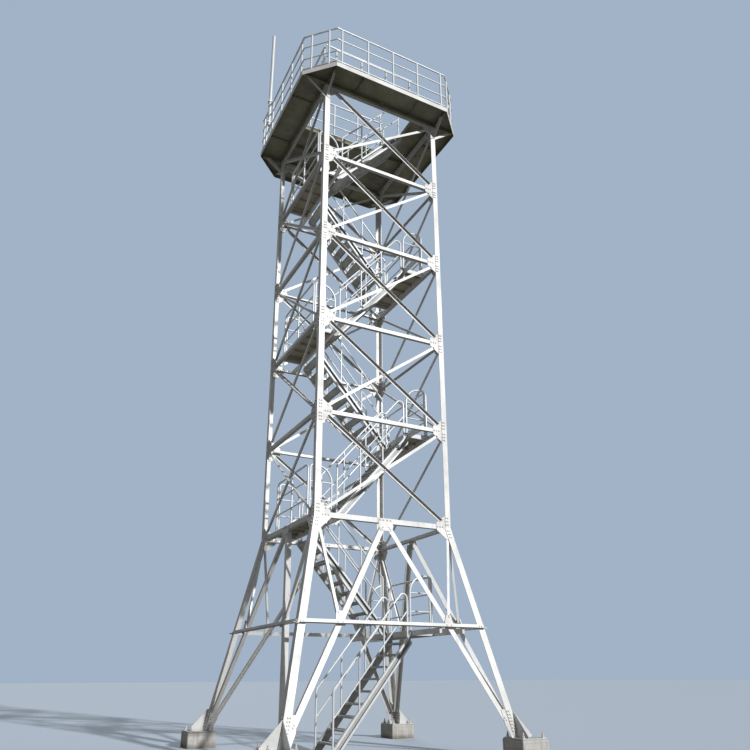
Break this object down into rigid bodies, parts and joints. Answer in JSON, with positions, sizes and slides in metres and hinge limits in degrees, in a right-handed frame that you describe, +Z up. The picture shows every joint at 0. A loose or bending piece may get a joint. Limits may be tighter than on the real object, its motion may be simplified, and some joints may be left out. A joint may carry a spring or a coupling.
{
  "type": "fire lookout tower",
  "caption": "Open angle-steel lookout tower: braced square shaft on splayed legs, inner switchback stair with landings, and a railed octagonal viewing deck with a mast.",
  "frame": {"origin": "centre of the plan at ground level, in the plane of the bottoms of the pedestals", "axes": "+X along the front face from leg B to leg C, +Y from the front face to the back, +Z up"},
  "size_m": [5.42, 5.42, 18.3737],
  "materials": {
    "concrete": "cast concrete, weathered",
    "galvanised_steel": "hot-dip galvanised, bright with a light spangle",
    "rail_tube": "hot-dip galvanised tube",
    "dark_steel": "dulled grey-green floor steel"
  },
  "bodies": {
    "root": {"pedestals": "concrete", "base_shoes": "galvanised_steel", "lower_leg_a": "galvanised_steel", "lower_leg_b": "galvanised_steel", "lower_leg_c": "galvanised_steel", "lower_leg_d": "galvanised_steel", "upper_leg_a": "galvanised_steel", "upper_leg_b": "galvanised_steel", "upper_leg_c": "galvanised_steel", "upper_leg_d": "galvanised_steel", "bracing_front": "galvanised_steel", "bracing_right": "galvanised_steel", "bracing_back": "galvanised_steel", "bracing_left": "galvanised_steel", "gusset_plates": "galvanised_steel", "landing_1": "dark_steel", "landing_2": "dark_steel", "landing_3": "dark_steel", "landing_4": "dark_steel", "landing_5": "dark_steel", "landing_6": "dark_steel", "landing_guards": "rail_tube", "flight_1": "galvanised_steel", "flight_2": "galvanised_steel", "flight_3": "galvanised_steel", "flight_4": "galvanised_steel", "flight_5": "galvanised_steel", "flight_6": "galvanised_steel", "flight_7": "galvanised_steel", "treads_1": "dark_steel", "treads_2": "dark_steel", "treads_3": "dark_steel", "treads_4": "dark_steel", "treads_5": "dark_steel", "treads_6": "dark_steel", "treads_7": "dark_steel", "deck_frame": "dark_steel", "knee_braces": "galvanised_steel", "deck_plate": "dark_steel", "railing_front": "rail_tube", "railing_right": "rail_tube", "railing_back": "rail_tube", "railing_left": "rail_tube", "hatch_guard": "rail_tube", "lightning_mast": "rail_tube"}
  },
  "joints": []
}
